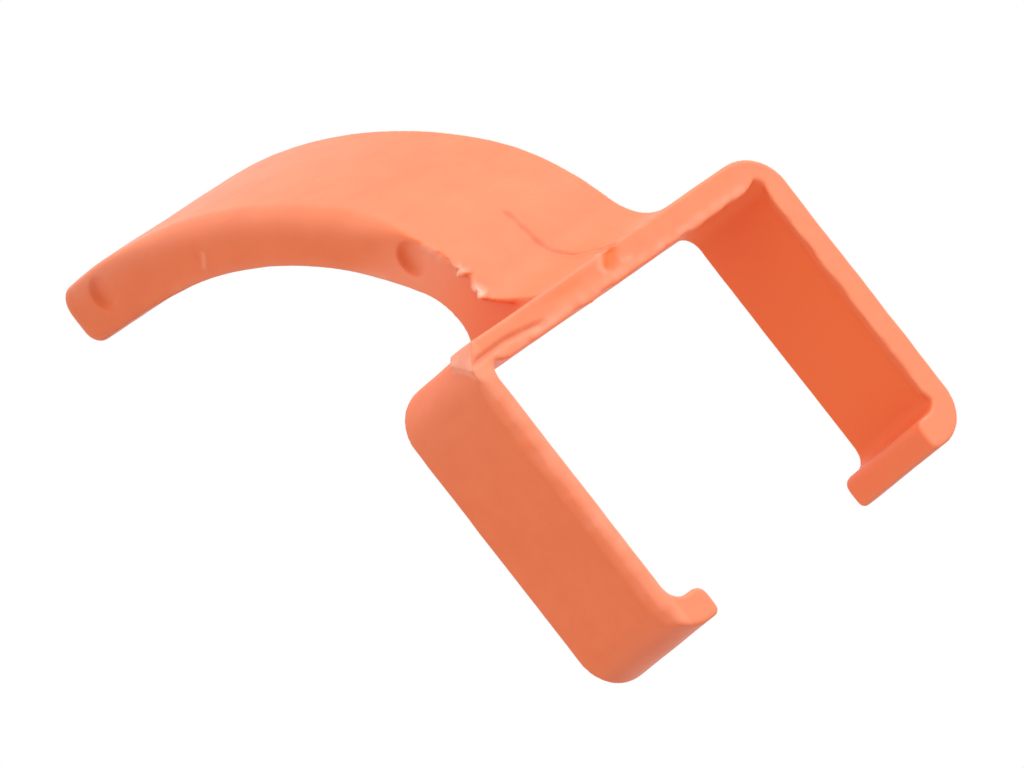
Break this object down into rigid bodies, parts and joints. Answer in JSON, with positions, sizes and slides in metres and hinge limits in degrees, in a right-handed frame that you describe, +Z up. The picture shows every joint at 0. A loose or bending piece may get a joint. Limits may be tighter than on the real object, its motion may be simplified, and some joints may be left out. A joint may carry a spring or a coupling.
{
  "type": "cheek retractor",
  "caption": "C-shaped spring clip that snaps over a dental handpiece or scanner head, with a curved arm that hooks back to hold the cheek away.",
  "frame": {"origin": "middle of the bridge's flat underside, where the instrument's head seats", "axes": "+Z up from the seat towards the arm's crest; X across the clip from the near leg (-X) to the far leg (+X); +Y the way the arm curls back"},
  "size_m": [0.0244, 0.0289, 0.0332],
  "materials": {
    "orange_plastic": "satin moulded orange plastic, slightly soft"
  },
  "bodies": {
    "frame": {"bridge": "orange_plastic", "near_shoulder": "orange_plastic", "far_shoulder": "orange_plastic", "arm_root": "orange_plastic"},
    "near_side": {"near_leg": "orange_plastic", "near_lip": "orange_plastic"},
    "far_side": {"far_leg": "orange_plastic", "far_lip": "orange_plastic"},
    "arm_low": {"arm_lower": "orange_plastic"},
    "arm_high": {"arm_upper": "orange_plastic", "arm_tip": "orange_plastic"}
  },
  "joints": [
    {"name": "near_leg_flex", "type": "hinge", "parent": "frame", "child": "near_side", "pos_m": [-0.01162, 0, -0.00135], "axis": [0, 1, 0], "range_deg": [-2, 8], "stiffness_Nm_per_rad": 0.31},
    {"name": "far_leg_flex", "type": "hinge", "parent": "frame", "child": "far_side", "pos_m": [0.01162, 0, -0.00135], "axis": [0, -1, 0], "range_deg": [-2, 8], "stiffness_Nm_per_rad": 0.31},
    {"name": "arm_root_flex", "type": "hinge", "parent": "frame", "child": "arm_low", "pos_m": [0, 0.00202, 0.00486], "axis": [1, 0, 0], "range_deg": [-5, 5], "stiffness_Nm_per_rad": 3.6},
    {"name": "arm_mid_flex", "type": "hinge", "parent": "arm_low", "child": "arm_high", "pos_m": [0, 0.00976, 0.01184], "axis": [1, 0, 0], "range_deg": [-5, 5]}
  ],
  "couplings": [
    {"joint": "arm_mid_flex", "follows": "arm_root_flex", "ratio": 1}
  ]
}
